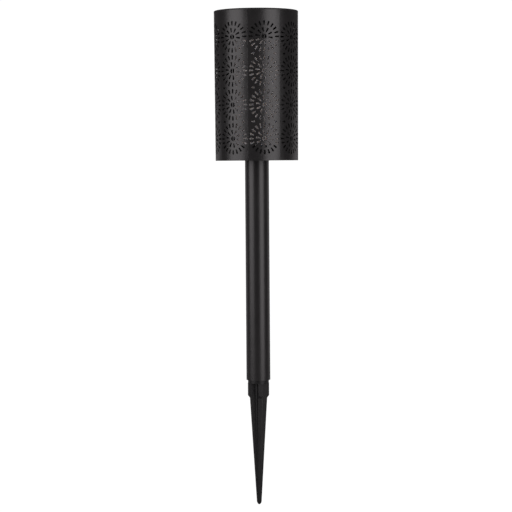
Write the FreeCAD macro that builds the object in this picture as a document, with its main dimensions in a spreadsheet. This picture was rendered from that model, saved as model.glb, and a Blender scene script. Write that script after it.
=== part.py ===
"""Solar garden torch: a pierced steel shade over a frosted light tube, on a tube pole with a ground spike.

The torch stands along +Z with the tip of its spike at the origin.  Lengths are in millimetres.
It comes apart as the real one does: the pole lifts off the spike, the shade lifts off the pole,
and the solar unit (cap, light tube and battery case) lifts out of the shade.
"""
import FreeCAD, Part
import math
import os
import Sketcher

Vector = FreeCAD.Vector

# Driving dimensions.  Each one can be changed by itself.
SIZES = {
    # ground spike
    "spike_length": 168.4,
    "tip_height": 3.4,
    "tip_width": 5.9,
    "tip_blunt_width": 2.4,
    "tip_round": 0.6,
    "tip_rib": 3.2,
    "tip_fillet": 0.6,
    "blade_length": 143.9,
    "blade_width": 22.6,
    "rib_thickness": 5.4,
    "rib_fillet": 2.6,
    "hub_width": 28.0,
    "hub_bevel": 3.5,
    "collar_height": 4.2,
    "plug_length": 38.0,
    "plug_wall": 2.6,
    # pole
    "pole_diameter": 32.0,
    "pole_wall": 1.0,
    "pole_length": 294.0,
    # shade
    "shade_diameter": 112.0,
    "shade_taper": 2.0,
    "shade_height": 196.2,
    "sheet_thickness": 0.8,
    "seam_width": 0.5,
    "seam_depth": 0.3,
    "seam_angle": -112.5,
    # base of the shade
    "base_recess": 1.0,
    "base_thickness": 3.0,
    "spigot_length": 38.0,
    "bracket_reach": 10.0,
    "bracket_height": 6.0,
    "bracket_thickness": 1.0,
    "seat_width": 4.0,
    "seat_thickness": 1.6,
    # light tube
    "tube_diameter": 60.0,
    "tube_wall": 1.5,
    "lit_foot": 20.0,
    "lit_height": 140.0,
    "tube_seat_depth": 5.0,
    "collar_wall": 1.7,
    "strut_thickness": 2.0,
    "strut_tab": 12.0,
    "strut_gap": 1.2,
    # battery case
    "case_wall": 1.5,
    "case_gap": 3.2,
    "bracket_gap": 0.8,
    "floor_thickness": 1.8,
    "battery_diameter": 10.5,
    "battery_length": 44.5,
    "button_diameter": 3.8,
    "button_height": 1.0,
    "contact_side": 7.4,
    "contact_foot_diameter": 5.2,
    "contact_tip_diameter": 2.0,
    "door_margin": 2.4,
    "contact_thickness": 0.5,
    "contact_reach": 1.8,
    "cradle_wall": 1.5,
    "switch_length": 9.0,
    "switch_width": 5.0,
    "switch_height": 4.0,
    "knob_length": 3.6,
    "knob_width": 2.2,
    "knob_reach": 0.8,
    "switch_travel": 2.0,
    # solar cap
    "lip_height": 2.0,
    "lip_round": 1.2,
    "cap_thickness": 5.2,
    "skirt_height": 8.0,
    "skirt_wall": 1.8,
    "pot_diameter": 98.0,
    "pot_wall": 2.0,
    "cover_thickness": 3.0,
    "panel_side": 70.0,
    "panel_recess": 3.0,
    "panel_board_thickness": 1.2,
    "wafer_thickness": 0.3,
    "wafer_gap": 1.0,
    "resin_thickness": 1.1,
    "board_thickness": 1.6,
    "board_length": 46.0,
    "board_width": 30.0,
    "board_drop": 6.0,
    "part_column": 11.0,
    "part_row": 9.5,
    "chip_side": 9.0,
    "chip_height": 1.6,
    "coil_diameter": 7.0,
    "coil_height": 4.5,
    "capacitor_diameter": 5.0,
    "capacitor_height": 7.0,
    "socket_length": 8.0,
    "socket_width": 5.0,
    "socket_height": 5.0,
    # flame light
    "former_diameter": 36.0,
    "former_wall": 1.5,
    "strip_thickness": 0.3,
    "led_side": 3.4,
    "led_thickness": 1.0,
    "lead_diameter": 1.5,
    # screws
    "screw_diameter": 2.8,
    "screw_head_diameter": 5.2,
    "screw_head_height": 1.6,
    "screw_sink": 1.0,
    "screw_bite": 4.5,
    # fits
    "slip_fit": 0.1,
    "loose_fit": 0.3,
}

BRACKETS = 3
BRACKET_ARC = 11.0
FLOOR_SCREWS = 3
COVER_SCREWS = 3
BOARD_SCREWS = 2
STRUTS = 2
WAFERS = 4
LED_COLUMNS = 6
LED_ROWS = 12


class Length:
    """A length that knows both its number and the spreadsheet expression that drives it."""

    def __init__(self, value, text):
        self.value = value
        self.text = text

    @staticmethod
    def of(other):
        return other if isinstance(other, Length) else Length(float(other), str(other))

    def _join(self, sign, other, value):
        return Length(value, f"({self.text} {sign} {other.text})")

    def __add__(self, other):
        other = Length.of(other)
        return self._join("+", other, self.value + other.value)

    def __radd__(self, other):
        return Length.of(other) + self

    def __sub__(self, other):
        other = Length.of(other)
        return self._join("-", other, self.value - other.value)

    def __rsub__(self, other):
        return Length.of(other) - self

    def __mul__(self, other):
        other = Length.of(other)
        return self._join("*", other, self.value * other.value)

    def __rmul__(self, other):
        return Length.of(other) * self

    def __truediv__(self, other):
        other = Length.of(other)
        return self._join("/", other, self.value / other.value)

    def __neg__(self):
        return Length(-self.value, f"(-1 * {self.text})")


ZERO = Length(0.0, "0")


class Sizes:
    """Reads a driving dimension as an attribute, such as size.pole_wall."""

    def __getattr__(self, name):
        return Length(SIZES[name], f"sizes.{name}")


size = Sizes()


class Levels:
    """Heights and radii that several pieces share, each worked out once."""

    def __init__(self):
        # where the three main pieces meet
        self.collar_foot = size.spike_length - size.collar_height
        self.pole_foot = size.spike_length
        self.pole_top = self.pole_foot + size.pole_length
        self.pole_radius = size.pole_diameter / 2
        self.pole_bore = self.pole_radius - size.pole_wall
        self.plug_radius = self.pole_bore - size.slip_fit
        self.plug_bore = self.plug_radius - size.plug_wall
        self.shade_foot = self.pole_top - size.base_recess
        self.shade_top = self.shade_foot + size.shade_height
        self.shade_radius = size.shade_diameter / 2
        self.shade_bore = self.shade_radius - size.sheet_thickness
        self.foot_radius = self.shade_radius - size.shade_taper / 2
        self.foot_bore = self.foot_radius - size.sheet_thickness
        # base plate and its brackets
        self.base_radius = self.foot_bore - size.slip_fit
        self.base_top = self.pole_top + size.base_thickness
        self.bracket_circle = self.base_radius - size.bracket_reach + size.screw_head_diameter * 3 / 4
        # light tube, on a ring at its foot and in a collar at its top, with a strut on either side
        self.tube_radius = size.tube_diameter / 2
        self.tube_bore = self.tube_radius - size.tube_wall
        self.collar_bore = self.tube_radius + size.slip_fit
        self.collar_radius = self.collar_bore + size.collar_wall
        self.lit_foot = self.shade_foot + size.lit_foot
        self.lit_top = self.lit_foot + size.lit_height
        self.tube_top = self.lit_top + size.tube_seat_depth
        self.strut_outer = self.foot_bore - size.strut_gap
        # battery case, standing on the rubber seat inside the brackets
        self.case_foot = self.base_top + size.seat_thickness
        self.case_top = self.lit_foot
        self.roof_foot = self.case_top - size.case_wall
        self.body_radius = self.foot_bore - size.bracket_reach - size.bracket_gap
        self.body_bore = self.body_radius - size.case_wall
        self.floor_top = self.case_foot + size.floor_thickness
        self.floor_radius = self.body_bore - size.slip_fit
        self.seat_outer = self.floor_radius - size.case_wall / 2
        self.seat_inner = self.seat_outer - size.seat_width
        self.post_circle = self.seat_inner - size.screw_head_diameter / 2 - size.loose_fit
        self.cradle = size.battery_length / 2 + size.contact_thickness + size.contact_reach
        self.door_screw = self.cradle + self.post_radius + size.slip_fit
        self.door_half_length = self.door_screw + size.screw_head_diameter / 2
        self.door_half_width = size.battery_diameter / 2 + size.door_margin
        self.battery_axis = self.floor_top + size.battery_diameter / 2 + size.loose_fit
        self.knob_start = size.switch_travel / 2
        self.switch_place = (self.door_half_width + self.body_bore) / 2
        # solar cap and its pot
        self.cover_top = self.tube_top + size.cover_thickness
        self.cap_top = self.shade_top + size.lip_height
        self.cap_underside = self.cap_top - size.cap_thickness
        skirt_taper = size.shade_taper / 2 * size.skirt_height / size.shade_height
        self.skirt_radius = self.shade_bore - skirt_taper - size.slip_fit
        self.pot_radius = size.pot_diameter / 2
        self.pot_bore = self.pot_radius - size.pot_wall
        self.cover_circle = self.pot_bore - size.screw_diameter / 2
        self.panel_floor = self.cap_top - size.panel_recess
        self.wafer_foot = self.panel_floor + size.panel_board_thickness
        self.board_top = self.cap_underside - size.board_drop
        self.board_foot = self.board_top - size.board_thickness
        self.board_screw = size.board_length / 2 - self.post_radius
        # flame light
        self.former_radius = size.former_diameter / 2
        self.former_bore = self.former_radius - size.former_wall
        self.strip_radius = self.former_radius + size.strip_thickness
        self.lead_place = self.former_bore - size.lead_diameter * 2 - size.loose_fit
        self.panel_lead = size.lead_diameter / 2 + size.slip_fit

    @property
    def screw_radius(self):
        return size.screw_diameter / 2

    @property
    def post_radius(self):
        """Outer radius of a moulded post that takes a screw."""
        return size.screw_diameter / 2 + size.case_wall


level = Levels()


# How a sketch names the points of a line, an arc or a circle
START, END, CENTRE = 1, 2, 3


# ---------------------------------------------------------------- drawing helpers

def add_sheet(doc):
    """Write every driving dimension into a spreadsheet, with its name as the cell's alias."""
    sheet = doc.addObject("Spreadsheet::Sheet", "sizes")
    for row, (alias, value) in enumerate(SIZES.items(), 1):
        sheet.set(f"A{row}", alias)
        sheet.set(f"B{row}", str(value))
        sheet.setAlias(f"B{row}", alias)
    doc.recompute()


def new_body(doc, label):
    body = doc.addObject("PartDesign::Body", label)
    body.Label = label
    return body


def origin_feature(body, role):
    """One of the body's own origin planes or axes."""
    return next(item for item in body.Origin.OriginFeatures if item.Role == role)


def new_sketch(body, plane, height=None):
    """A sketch on an origin plane, lifted along the plane's normal by height."""
    sketch = body.newObject("Sketcher::SketchObject", f"{body.Name}_sketch")
    sketch.AttachmentSupport = [(origin_feature(body, plane), "")]
    sketch.MapMode = "FlatFace"
    if height is not None:
        sketch.setExpression("AttachmentOffset.Base.z", height.text)
    return sketch


def drive(sketch, kind, first, point, other, other_point, length):
    """Add one distance constraint and bind it to its expression."""
    index = sketch.addConstraint(
        Sketcher.Constraint(kind, first, point, other, other_point, length.value)
    )
    sketch.setExpression(f"Constraints[{index}]", length.text)


def place_point(sketch, item, point, across, up):
    """Hold one point of a sketched line, arc or circle at (across, up) from the sketch's origin."""
    if across.value == 0:
        sketch.addConstraint(Sketcher.Constraint("PointOnObject", item, point, -2))
    else:
        drive(sketch, "DistanceX", -1, 1, item, point, across)
    if up.value == 0:
        sketch.addConstraint(Sketcher.Constraint("PointOnObject", item, point, -1))
    else:
        drive(sketch, "DistanceY", -1, 1, item, point, up)


def set_radius(sketch, item, radius):
    """Drive the radius of a sketched arc or circle."""
    index = sketch.addConstraint(Sketcher.Constraint("Radius", item, radius.value))
    sketch.setExpression(f"Constraints[{index}]", radius.text)


def join_points(sketch, first, point, second, other_point):
    sketch.addConstraint(Sketcher.Constraint("Coincident", first, point, second, other_point))


def draw_outline(sketch, corners):
    """A closed chain of straight lines through the corners, each corner driven by the spreadsheet."""
    corners = [(Length.of(a), Length.of(b)) for a, b in corners]
    points = [Vector(a.value, b.value, 0) for a, b in corners]
    count, first = len(points), sketch.GeometryCount
    for i in range(count):
        sketch.addGeometry(Part.LineSegment(points[i], points[(i + 1) % count]), False)
    for i in range(count):
        join_points(sketch, first + i, END, first + (i + 1) % count, START)
    for i, (across, up) in enumerate(corners):
        place_point(sketch, first + i, START, across, up)
    return sketch


def draw_circle(sketch, radius, across=ZERO, up=ZERO):
    """A circle whose radius and centre are driven by the spreadsheet."""
    centre = Vector(across.value, up.value, 0)
    circle = sketch.addGeometry(Part.Circle(centre, Vector(0, 0, 1), radius.value), False)
    set_radius(sketch, circle, radius)
    place_point(sketch, circle, CENTRE, across, up)
    return sketch


def rectangle(centre_x, centre_y, length, width):
    """The four corners of a rectangle."""
    half_x, half_y = length / 2, width / 2
    return [
        (centre_x - half_x, centre_y - half_y),
        (centre_x + half_x, centre_y - half_y),
        (centre_x + half_x, centre_y + half_y),
        (centre_x - half_x, centre_y + half_y),
    ]


def revolve(body, outline):
    """Turn an outline of (radius, height) corners once round the body's Z axis."""
    sketch = draw_outline(new_sketch(body, "XZ_Plane"), outline)
    turned = body.newObject("PartDesign::Revolution", f"{body.Name}_turned")
    turned.Profile = sketch
    turned.ReferenceAxis = (sketch, ["V_Axis"])
    turned.Angle = 360
    return turned


def pad(body, sketch, length):
    """Raise a sketch on the XY plane towards +Z."""
    raised = body.newObject("PartDesign::Pad", f"{body.Name}_pad")
    raised.Profile = sketch
    raised.setExpression("Length", length.text)
    return raised


def pocket(body, sketch, depth, upwards):
    """Cut a sketch on the XY plane, towards +Z if upwards and towards -Z if not."""
    cut = body.newObject("PartDesign::Pocket", f"{body.Name}_pocket")
    cut.Profile = sketch
    cut.setExpression("Length", depth.text)
    cut.Reversed = upwards
    return cut


def pattern(body, feature, count):
    """Repeat a feature evenly round the body's Z axis."""
    ring = body.newObject("PartDesign::PolarPattern", f"{body.Name}_ring")
    ring.Originals = [feature]
    ring.Axis = (origin_feature(body, "Z_Axis"), [""])
    ring.Angle = 360
    ring.Occurrences = count
    body.Tip = ring
    return ring


def round_edges(doc, body, radius, chosen):
    """Fillet the edges of the body's last feature for which chosen(edge) is true."""
    doc.recompute()
    last = body.Tip
    names = [f"Edge{i}" for i, edge in enumerate(last.Shape.Edges, 1) if chosen(edge)]
    soft = body.newObject("PartDesign::Fillet", f"{body.Name}_round")
    soft.Base = (last, names)
    soft.setExpression("Radius", radius.text)
    return soft


def is_circle_at(edge, radius, height):
    """True for a circle of this radius at this height, centred on the Z axis."""
    curve = edge.Curve
    return (
        isinstance(curve, Part.Circle)
        and abs(curve.Radius - radius.value) < 1e-4
        and abs(curve.Center.z - height.value) < 1e-4
    )


def turned_piece(doc, label, outline):
    body = new_body(doc, label)
    revolve(body, outline)
    return body


def plate_piece(doc, label, corners, foot, thickness):
    """A flat plate with the given outline, its underside at foot."""
    body = new_body(doc, label)
    pad(body, draw_outline(new_sketch(body, "XY_Plane", foot), corners), thickness)
    return body


def post(body, radius, across, up, foot, height):
    """Raise a round post from foot."""
    sketch = draw_circle(new_sketch(body, "XY_Plane", foot), radius, across, up)
    return pad(body, sketch, height)


def bore(body, radius, across, up, foot, depth):
    """Drill a round hole upwards from foot."""
    sketch = draw_circle(new_sketch(body, "XY_Plane", foot), radius, across, up)
    return pocket(body, sketch, depth, True)


def group(doc, label, shapes):
    """Equal pieces that share one node, as separate solids."""
    feature = doc.addObject("Part::Feature", label)
    feature.Label = label
    feature.Shape = Part.makeCompound(shapes)
    return feature


def screw(seat, length):
    """A cross-recessed pan-head screw, head down, its shank pointing up from the seat."""
    foot = seat.value
    head_radius = size.screw_head_diameter.value / 2
    head_height = size.screw_head_height.value
    shank = Part.makeCylinder(size.screw_diameter.value / 2, length.value, Vector(0, 0, foot))
    head = Part.makeCylinder(head_radius, head_height, Vector(0, 0, foot - head_height))
    rim = [edge for edge in head.Edges if abs(edge.CenterOfMass.z - foot + head_height) < 1e-6]
    head = head.makeFillet(head_height * 0.55, rim)
    recess_length, recess_width = head_radius * 1.2, head_radius * 0.3
    for turn in (0, 90):
        recess = Part.makeBox(recess_length, recess_width, head_height / 2)
        recess.translate(Vector(-recess_length / 2, -recess_width / 2, foot - head_height))
        recess.rotate(Vector(0, 0, 0), Vector(0, 0, 1), turn)
        head = head.cut(recess)
    return head.fuse(shank).removeSplitter()


def on_circle(shape, radius, count, start=0.0):
    """Copies of a shape, spread evenly on a circle round the Z axis."""
    copies = []
    for i in range(count):
        copy = shape.copy()
        copy.translate(Vector(radius.value, 0, 0))
        copy.rotate(Vector(0, 0, 0), Vector(0, 0, 1), start + 360.0 / count * i)
        copies.append(copy)
    return copies


# ---------------------------------------------------------------- ground spike

def ribbed_section(body, height, width, thickness, fillet):
    """A plus-shaped section of four ribs whose inner corners are hollow quarter rounds."""
    sketch = new_sketch(body, "XY_Plane", height)
    reach, side = width / 2, thickness / 2
    shoulder = side + fillet
    corners = [(reach, -side), (reach, side), (shoulder, side), (side, shoulder)]
    centre = (shoulder, shoulder)
    starts = []
    for turn in range(4):
        outer_start, outer_end, hollow_end, hollow_start = corners
        following = (-outer_start[1], outer_start[0])
        quarter = math.pi / 2
        circle = Part.Circle(flat(centre), Vector(0, 0, 1), fillet.value)
        hollow = Part.ArcOfCircle(circle, quarter * (turn + 2), quarter * (turn + 3))
        sketch.addGeometry(Part.LineSegment(flat(outer_start), flat(outer_end)), False)
        sketch.addGeometry(Part.LineSegment(flat(outer_end), flat(hollow_end)), False)
        sketch.addGeometry(hollow, False)
        sketch.addGeometry(Part.LineSegment(flat(hollow_start), flat(following)), False)
        starts.append((outer_start, outer_end, hollow_end, hollow_start))
        corners = [quarter_turn(corner) for corner in corners]
        centre = quarter_turn(centre)
    for turn, (outer_start, outer_end, hollow_end, hollow_start) in enumerate(starts):
        tip, flank, hollow, next_flank = (4 * turn + i for i in range(4))
        join_points(sketch, tip, END, flank, START)
        join_points(sketch, flank, END, hollow, END)
        join_points(sketch, hollow, START, next_flank, START)
        join_points(sketch, next_flank, END, (4 * turn + 4) % 16, START)
        place_point(sketch, tip, START, *outer_start)
        place_point(sketch, flank, START, *outer_end)
        place_point(sketch, flank, END, *hollow_end)
        place_point(sketch, next_flank, START, *hollow_start)
        set_radius(sketch, hollow, fillet)
    return sketch


def flat(corner):
    return Vector(corner[0].value, corner[1].value, 0)


def quarter_turn(corner):
    return (-corner[1], corner[0])


def ground_spike(doc):
    """One moulding: a ribbed blade, a wider ribbed hub, a round collar and a hollow plug."""
    body = new_body(doc, "ground_spike")
    blunt = size.tip_blunt_width / size.tip_width
    half_way = (size.tip_width + size.tip_blunt_width) / 2 + size.tip_round
    share = half_way / size.tip_width
    sections = [
        ribbed_section(
            body, ZERO, size.tip_blunt_width, size.tip_rib * blunt, size.tip_fillet * blunt
        ),
        ribbed_section(
            body, size.tip_height / 2, half_way, size.tip_rib * share, size.tip_fillet * share
        ),
        ribbed_section(body, size.tip_height, size.tip_width, size.tip_rib, size.tip_fillet),
        ribbed_section(
            body, size.blade_length, size.blade_width, size.rib_thickness, size.rib_fillet
        ),
        ribbed_section(
            body,
            size.blade_length + size.hub_bevel,
            size.hub_width,
            size.rib_thickness,
            size.rib_fillet,
        ),
        ribbed_section(
            body, level.collar_foot, size.hub_width, size.rib_thickness, size.rib_fillet
        ),
    ]
    blade = body.newObject("PartDesign::AdditiveLoft", "blade")
    blade.Profile = sections[0]
    blade.Sections = sections[1:]
    blade.Ruled = True
    collar = new_sketch(body, "XY_Plane", level.collar_foot)
    pad(body, draw_circle(collar, size.hub_width / 2), size.collar_height)
    plug = new_sketch(body, "XY_Plane", level.pole_foot)
    pad(body, draw_circle(plug, level.plug_radius), size.plug_length)
    plug_top = level.pole_foot + size.plug_length
    round_edges(
        doc, body, size.plug_wall * 0.4, lambda edge: is_circle_at(edge, level.plug_radius, plug_top)
    )
    hollow = new_sketch(body, "XY_Plane", plug_top)
    pocket(body, draw_circle(hollow, level.plug_bore), size.plug_length - size.plug_wall, False)
    return body


# ---------------------------------------------------------------- pole

def pole_tube(doc):
    """A plain steel tube that the spike plugs into from below and the shade's base from above."""
    return turned_piece(doc, "pole_tube", [
        (level.pole_bore, level.pole_foot),
        (level.pole_radius, level.pole_foot),
        (level.pole_radius, level.pole_top),
        (level.pole_bore, level.pole_top),
    ])


# ---------------------------------------------------------------- shade and its base

def pierced_shade(doc):
    """The rolled sheet as a whole wall, a little narrower at its foot, with its butt seam."""
    body = turned_piece(doc, "pierced_shade", [
        (level.foot_bore, level.shade_foot),
        (level.foot_radius, level.shade_foot),
        (level.shade_radius, level.shade_top),
        (level.shade_bore, level.shade_top),
    ])
    seam = body.newObject("PartDesign::Groove", "seam")
    seam.Profile = draw_outline(new_sketch(body, "XZ_Plane"), [
        (level.foot_radius - size.seam_depth, level.shade_foot),
        (level.foot_radius + size.seam_depth, level.shade_foot),
        (level.shade_radius + size.seam_depth, level.shade_top),
        (level.shade_radius - size.seam_depth, level.shade_top),
    ])
    seam.ReferenceAxis = (seam.Profile[0], ["V_Axis"])
    seam.Midplane = True
    seam.setExpression("Angle", f"({(size.seam_width / level.shade_radius).text}) * 180deg / pi")
    body.Placement = FreeCAD.Placement(
        Vector(0, 0, 0), FreeCAD.Rotation(Vector(0, 0, 1), size.seam_angle.value)
    )
    return body


def base_plate(doc):
    """A round plate inside the foot of the shade, with a hollow spigot that plugs into the pole."""
    spigot_foot = level.pole_top - size.spigot_length
    bevel = size.plug_wall / 2
    body = turned_piece(doc, "base_plate", [
        (ZERO, level.pole_top),
        (level.plug_bore, level.pole_top),
        (level.plug_bore, spigot_foot),
        (level.plug_radius - bevel, spigot_foot),
        (level.plug_radius, spigot_foot + bevel),
        (level.plug_radius, level.pole_top),
        (level.base_radius, level.pole_top),
        (level.base_radius, level.base_top),
        (ZERO, level.base_top),
    ])
    hole = bore(
        body, level.screw_radius + size.slip_fit, level.bracket_circle, ZERO, level.pole_top,
        size.base_thickness,
    )
    sink = bore(
        body, size.screw_head_diameter / 2 + size.slip_fit, level.bracket_circle, ZERO,
        level.pole_top, size.screw_head_height,
    )
    ring = pattern(body, hole, BRACKETS)
    ring.Originals = [hole, sink]
    return body


def shade_brackets(doc):
    """Small angle brackets spot-welded inside the sheet, which the base plate is screwed to."""
    body = new_body(doc, "shade_brackets")
    back, toe = level.foot_bore, level.foot_bore - size.bracket_reach
    leg_face = back - size.bracket_thickness
    bracket = revolve(body, [
        (toe, level.base_top),
        (back, level.base_top),
        (back, level.base_top + size.bracket_height),
        (leg_face, level.base_top + size.bracket_height),
        (leg_face, level.base_top + size.bracket_thickness),
        (toe, level.base_top + size.bracket_thickness),
    ])
    bracket.Angle = BRACKET_ARC
    bracket.Midplane = True
    hole = bore(
        body, level.screw_radius + size.slip_fit, level.bracket_circle, ZERO, level.base_top,
        size.bracket_thickness,
    )
    ring = pattern(body, bracket, BRACKETS)
    ring.Originals = [bracket, hole]
    return body


def base_screws(doc):
    seat = level.pole_top + size.screw_head_height
    shank = size.base_thickness - size.screw_head_height + size.bracket_thickness
    return group(doc, "base_screws", on_circle(screw(seat, shank), level.bracket_circle, BRACKETS))


def rubber_seat(doc):
    """A flat ring on the base plate, which the battery case stands on."""
    return turned_piece(doc, "rubber_seat", [
        (level.seat_inner, level.base_top),
        (level.seat_outer, level.base_top),
        (level.seat_outer, level.case_foot),
        (level.seat_inner, level.case_foot),
    ])


# ---------------------------------------------------------------- solar cap

def solar_cap(doc):
    """The moulded cap: a lip on the sheet's edge, a skirt inside it, a pot and a panel recess."""
    skirt_bore = level.skirt_radius - size.skirt_wall
    skirt_foot = level.shade_top - size.skirt_height
    body = turned_piece(doc, "solar_cap", [
        (ZERO, level.cap_underside),
        (level.pot_bore, level.cap_underside),
        (level.pot_bore, level.cover_top),
        (level.pot_radius, level.cover_top),
        (level.pot_radius, level.cap_underside),
        (skirt_bore, level.cap_underside),
        (skirt_bore, skirt_foot),
        (level.skirt_radius, skirt_foot),
        (level.skirt_radius, level.shade_top),
        (level.shade_radius, level.shade_top),
        (level.shade_radius, level.cap_top),
        (ZERO, level.cap_top),
    ])
    round_edges(
        doc, body, size.lip_round, lambda edge: is_circle_at(edge, level.shade_radius, level.cap_top)
    )
    recess = rectangle(ZERO, ZERO, size.panel_side, size.panel_side)
    sketch = draw_outline(new_sketch(body, "XY_Plane", level.cap_top), recess)
    pocket(body, sketch, size.panel_recess, False)
    floor = size.cap_thickness - size.panel_recess
    bore(body, level.panel_lead * 3, ZERO, ZERO, level.cap_underside, floor)
    for side in (-1, 1):
        place = level.board_screw * side
        post(body, level.post_radius, place, ZERO, level.board_top, size.board_drop)
        bore(body, level.screw_radius, place, ZERO, level.board_top, size.board_drop)
    pot_height = level.cap_underside - level.cover_top
    boss = post(body, level.post_radius, ZERO, level.cover_circle, level.cover_top, pot_height)
    pilot = bore(body, level.screw_radius, ZERO, level.cover_circle, level.cover_top, pot_height / 2)
    ring = pattern(body, boss, COVER_SCREWS)
    ring.Originals = [boss, pilot]
    return body


def panel_board(doc):
    side = size.panel_side - size.loose_fit * 2
    corners = rectangle(ZERO, ZERO, side, side)
    return plate_piece(doc, "panel_board", corners, level.panel_floor, size.panel_board_thickness)


def solar_wafers(doc):
    """Dark silicon strips in a row on the panel board."""
    body = new_body(doc, "solar_wafers")
    sketch = new_sketch(body, "XY_Plane", level.wafer_foot)
    side = size.panel_side - size.loose_fit * 2 - size.wafer_gap * 2
    pitch = (side + size.wafer_gap) / WAFERS
    for i in range(WAFERS):
        across = pitch * (i - (WAFERS - 1) / 2)
        draw_outline(sketch, rectangle(across, ZERO, pitch - size.wafer_gap, side))
    pad(body, sketch, size.wafer_thickness)
    return body


def panel_resin(doc):
    """The clear casting over the silicon, a little below the cap's top."""
    side = size.panel_side - size.loose_fit * 2
    foot = level.wafer_foot + size.wafer_thickness
    return plate_piece(
        doc, "panel_resin", rectangle(ZERO, ZERO, side, side), foot, size.resin_thickness
    )


def housing_cover(doc):
    """Closes the pot from below; its collar holds the light tube and its peg ring the former."""
    peg_radius = level.former_bore - size.slip_fit
    peg_foot = level.tube_top - size.tube_seat_depth
    body = turned_piece(doc, "housing_cover", [
        (ZERO, level.tube_top),
        (peg_radius - size.case_wall, level.tube_top),
        (peg_radius - size.case_wall, peg_foot),
        (peg_radius, peg_foot),
        (peg_radius, level.tube_top),
        (level.collar_bore, level.tube_top),
        (level.collar_bore, level.lit_top),
        (level.collar_radius, level.lit_top),
        (level.collar_radius, level.tube_top),
        (level.pot_radius, level.tube_top),
        (level.pot_radius, level.cover_top),
        (ZERO, level.cover_top),
    ])
    for side in (-1, 1):
        bore(
            body, size.lead_diameter / 2 + size.loose_fit, ZERO, level.lead_place * side,
            level.tube_top, size.cover_thickness,
        )
    hole = bore(
        body, level.screw_radius + size.slip_fit, ZERO, level.cover_circle, level.tube_top,
        size.cover_thickness,
    )
    pattern(body, hole, COVER_SCREWS)
    strut_slots(body, level.tube_top, size.cover_thickness)
    return body


def cover_screws(doc):
    fastener = screw(level.tube_top, size.cover_thickness + size.screw_bite)
    return group(doc, "cover_screws", on_circle(fastener, level.cover_circle, COVER_SCREWS, 90))


def control_board(doc):
    """The circuit board that charges the battery and drives the flame pattern."""
    body = plate_piece(
        doc, "control_board", rectangle(ZERO, ZERO, size.board_length, size.board_width),
        level.board_foot, size.board_thickness,
    )
    for side in (-1, 1):
        bore(
            body, level.screw_radius + size.slip_fit, level.board_screw * side, ZERO,
            level.board_foot, size.board_thickness,
        )
    return body


def board_parts(doc):
    """The controller chip, the coil, the reservoir capacitor and the leads' socket, under the board."""
    foot = level.board_foot.value
    across, up = size.part_column.value, size.part_row.value

    def block(length, width, height, x, y):
        corner = Vector(x - length.value / 2, y - width.value / 2, foot - height.value)
        return Part.makeBox(length.value, width.value, height.value, corner)

    def can(diameter, height, x, y):
        return Part.makeCylinder(diameter.value / 2, height.value, Vector(x, y, foot - height.value))

    chip = block(size.chip_side, size.chip_side, size.chip_height, 0, 0)
    coil = can(size.coil_diameter, size.coil_height, across, -up)
    capacitor = can(size.capacitor_diameter, size.capacitor_height, -across, -up)
    capacitor = capacitor.makeFillet(size.loose_fit.value, [capacitor.Edges[2]])
    socket = block(size.socket_length, size.socket_width, size.socket_height, -across, up)
    return group(doc, "board_parts", [chip, coil, capacitor, socket])


def board_screws(doc):
    fastener = screw(level.board_foot, size.board_thickness + size.screw_bite)
    return group(doc, "board_screws", on_circle(fastener, level.board_screw, BOARD_SCREWS))


# ---------------------------------------------------------------- flame light

def diffuser_tube(doc):
    """The frosted tube that glows behind the pierced sheet."""
    return turned_piece(doc, "diffuser_tube", [
        (level.tube_bore, level.case_top),
        (level.tube_radius, level.case_top),
        (level.tube_radius, level.tube_top),
        (level.tube_bore, level.tube_top),
    ])


def strut_span():
    """The distances from the axis of a strut's inner edge, its outer edge and the middle of its tabs."""
    inner = level.tube_radius + size.loose_fit
    return inner, level.strut_outer, (level.collar_radius + level.strut_outer) / 2


def strut_slots(body, foot, depth):
    """A slot on either side for the tabs of the struts."""
    gap = size.slip_fit * 2
    middle = strut_span()[2]
    sketch = new_sketch(body, "XY_Plane", foot)
    for side in (-1, 1):
        draw_outline(sketch, rectangle(
            middle * side, ZERO, size.strut_tab + gap, size.strut_thickness + gap))
    pocket(body, sketch, depth, True)


def tube_struts(doc):
    """Two flat black struts beside the light tube, which join the cover of the pot to the battery case."""
    body = new_body(doc, "tube_struts")
    inner, outer, middle = strut_span()
    top_inner = level.collar_radius + size.loose_fit
    half_tab = size.strut_tab / 2
    blocks = []
    for start, end, foot, top in (
        (inner, outer, level.case_top, level.lit_top),
        (top_inner, outer, level.lit_top, level.tube_top),
        (middle - half_tab, middle + half_tab, level.roof_foot, level.case_top),
        (middle - half_tab, middle + half_tab, level.tube_top, level.cover_top),
    ):
        outline = rectangle((start + end) / 2, ZERO, end - start, size.strut_thickness)
        blocks.append(pad(body, draw_outline(new_sketch(body, "XY_Plane", foot), outline), top - foot))
    ring = pattern(body, blocks[0], STRUTS)
    ring.Originals = blocks
    return body


def led_former(doc):
    """The white tube in the middle, which the strip of lights is wrapped round."""
    return turned_piece(doc, "led_former", [
        (level.former_bore, level.case_top),
        (level.former_radius, level.case_top),
        (level.former_radius, level.tube_top),
        (level.former_bore, level.tube_top),
    ])


def strip_span():
    """The foot and the height of the strip of lights, clear of both ends of the former."""
    foot = level.case_top + size.led_side
    return foot, level.lit_top - size.led_side - foot


def led_strip(doc):
    foot, height = strip_span()
    return turned_piece(doc, "led_strip", [
        (level.former_radius, foot),
        (level.strip_radius, foot),
        (level.strip_radius, foot + height),
        (level.former_radius, foot + height),
    ])


def flame_leds(doc):
    """Rows and columns of small square lights on the strip."""
    foot, height = strip_span()
    pitch = height.value / LED_ROWS
    side, depth = size.led_side.value, size.led_thickness.value
    lights = []
    for row in range(LED_ROWS):
        light = Part.makeBox(depth, side, side)
        light.translate(Vector(0, -side / 2, foot.value + pitch * (row + 0.5) - side / 2))
        lights += on_circle(light, level.strip_radius, LED_COLUMNS)
    return group(doc, "flame_leds", lights)


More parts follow.
